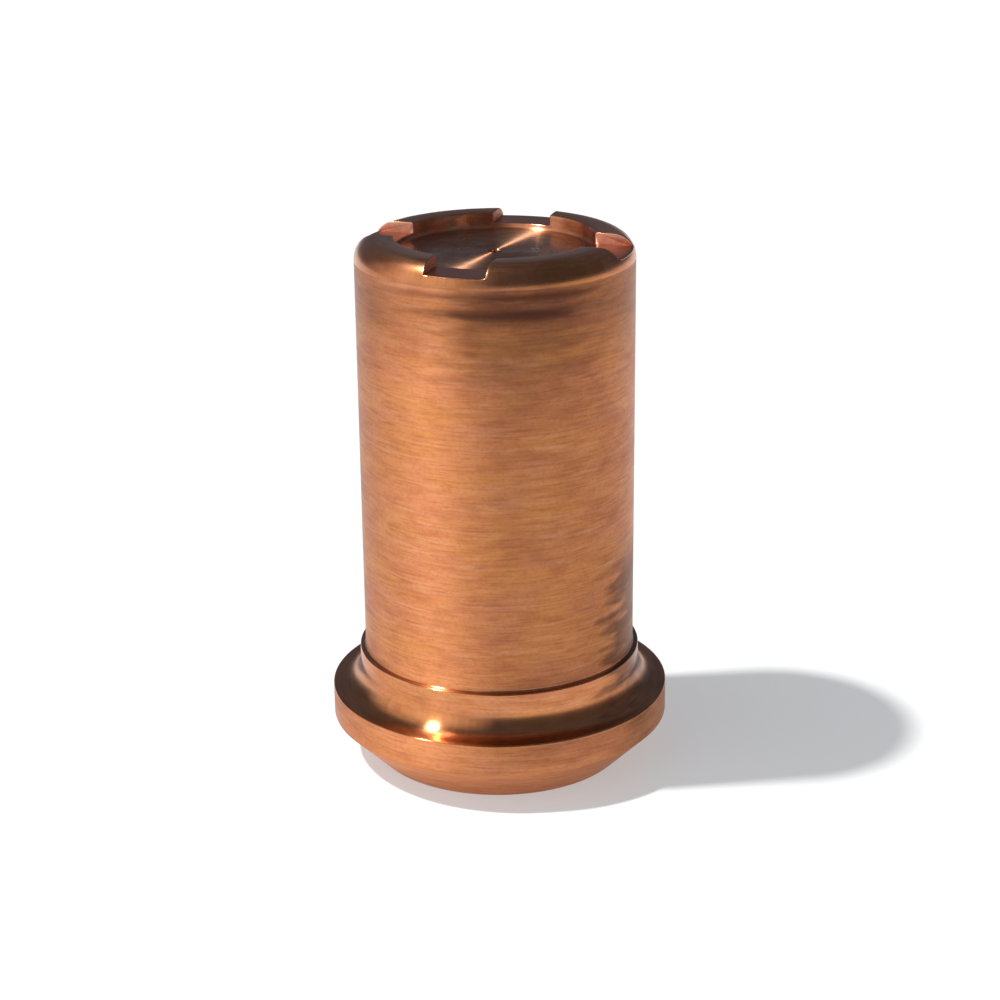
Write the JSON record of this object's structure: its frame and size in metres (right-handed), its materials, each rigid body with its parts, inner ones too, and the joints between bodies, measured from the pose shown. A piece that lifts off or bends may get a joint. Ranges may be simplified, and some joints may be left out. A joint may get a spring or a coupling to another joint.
{
  "type": "plasma cutting nozzle",
  "caption": "Turned copper nozzle with a rear flange, long barrel, slotted crown, recessed front face and a fine jet orifice for a plasma cutting torch.",
  "frame": {"origin": "centre of the flat rear face", "axes": "+Z along the axis out of the front, the way the jet leaves; the gas slots point along +X, -X, +Y and -Y"},
  "size_m": [0.0125, 0.0124, 0.0196],
  "materials": {
    "copper": "bare turned copper with fine turning marks, a little tarnished at the crown"
  },
  "bodies": {
    "root": {"nozzle": "copper"}
  },
  "joints": []
}
